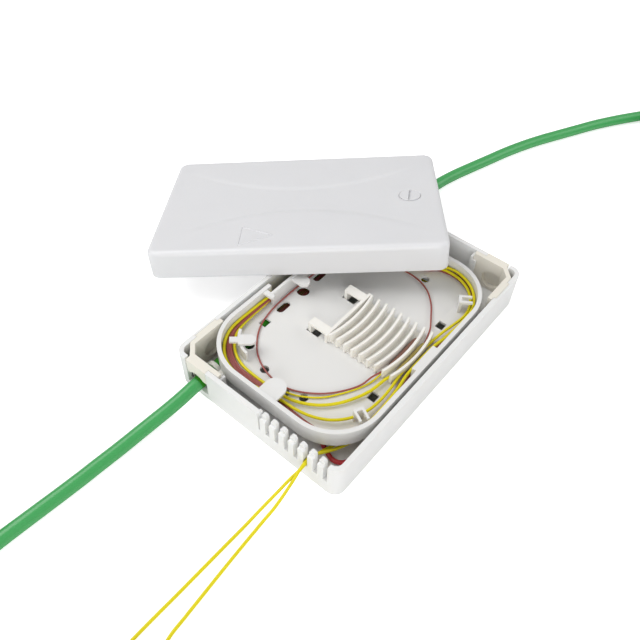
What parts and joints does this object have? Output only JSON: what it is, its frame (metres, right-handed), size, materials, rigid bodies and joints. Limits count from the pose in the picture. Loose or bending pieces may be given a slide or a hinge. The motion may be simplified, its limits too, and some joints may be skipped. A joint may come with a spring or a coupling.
{
  "type": "optical network terminal box",
  "caption": "Wall-mounted fibre termination box with a lift-off lid, cable port inserts, a splice tray with a curved comb, riser cable and pigtails.",
  "frame": {"origin": "middle of the tub's flat underside, which is the face that goes to the wall", "axes": "+X along the tub's long side towards the end the lid's lock closes on, +Y across it towards the riser cable's side, +Z out of the wall, from the underside to the lid"},
  "size_m": [0.6285, 0.2942, 0.0464],
  "materials": {
    "tub_plastic": "white moulded",
    "lid_plastic": "satin white moulded",
    "insert_plastic": "cream, thin walled",
    "tray_plastic": "white moulded",
    "comb_plastic": "warm grey",
    "sleeve_plastic": "clear brown heat-shrink",
    "fibre_brown": "brown-red coating",
    "fibre_yellow": "yellow jacket",
    "tube_red": "red loose tube",
    "cable_green": "green sheath",
    "tie_white": "natural nylon",
    "tie_dark": "hook and loop band",
    "plug_green": "green moulded",
    "boot_green": "soft boot",
    "cap_clear": "clear cap"
  },
  "bodies": {
    "tub": {"base_tub": "tub_plastic", "corner_insert_back": "insert_plastic", "splice_tray": "tray_plastic", "splice_comb": "comb_plastic", "splice_sleeve_1": "sleeve_plastic", "splice_sleeve_2": "sleeve_plastic", "brown_fibre_1": "fibre_brown", "brown_fibre_2": "fibre_brown", "yellow_fibre_1": "fibre_yellow", "yellow_fibre_2": "fibre_yellow", "red_tube": "tube_red", "riser_inside": "cable_green", "cable_tie_left": "tie_white", "cable_tie_right": "tie_white", "riser_left": "cable_green", "riser_left_coil": "cable_green", "riser_left_tie": "tie_dark", "riser_right": "cable_green", "riser_right_coil": "cable_green", "riser_right_tie": "tie_dark", "pigtail_1": "fibre_yellow", "pigtail_1_coil": "fibre_yellow", "pigtail_1_tie": "tie_dark", "pigtail_1_tail": "fibre_yellow", "pigtail_1_boot": "boot_green", "pigtail_1_connector": "plug_green", "pigtail_1_cap": "cap_clear", "pigtail_2": "fibre_yellow", "pigtail_2_coil": "fibre_yellow", "pigtail_2_tie": "tie_dark", "pigtail_2_tail": "fibre_yellow", "pigtail_2_boot": "boot_green", "pigtail_2_connector": "plug_green", "pigtail_2_cap": "cap_clear"},
    "lid": {"lid_cover": "lid_plastic"},
    "lock": {"lid_lock": "lid_plastic"},
    "insert_left": {"corner_insert_left": "insert_plastic"},
    "insert_right": {"corner_insert_right": "insert_plastic"}
  },
  "joints": [
    {"name": "lid_lift", "type": "slide", "parent": "tub", "child": "lid", "axis": [0, 0, 1], "range_m": [0, 0.08]},
    {"name": "lid_lock_turn", "type": "hinge", "parent": "lid", "child": "lock", "pos_m": [0.07692, 0.02363, 0.03669], "axis": [0.0884, 0.1739, 0.9808], "range_deg": [0, 90]},
    {"name": "insert_left_lift", "type": "slide", "parent": "tub", "child": "insert_left", "axis": [0, 0, 1], "range_m": [0, 0.03]},
    {"name": "insert_right_lift", "type": "slide", "parent": "tub", "child": "insert_right", "axis": [0, 0, 1], "range_m": [0, 0.03]}
  ]
}
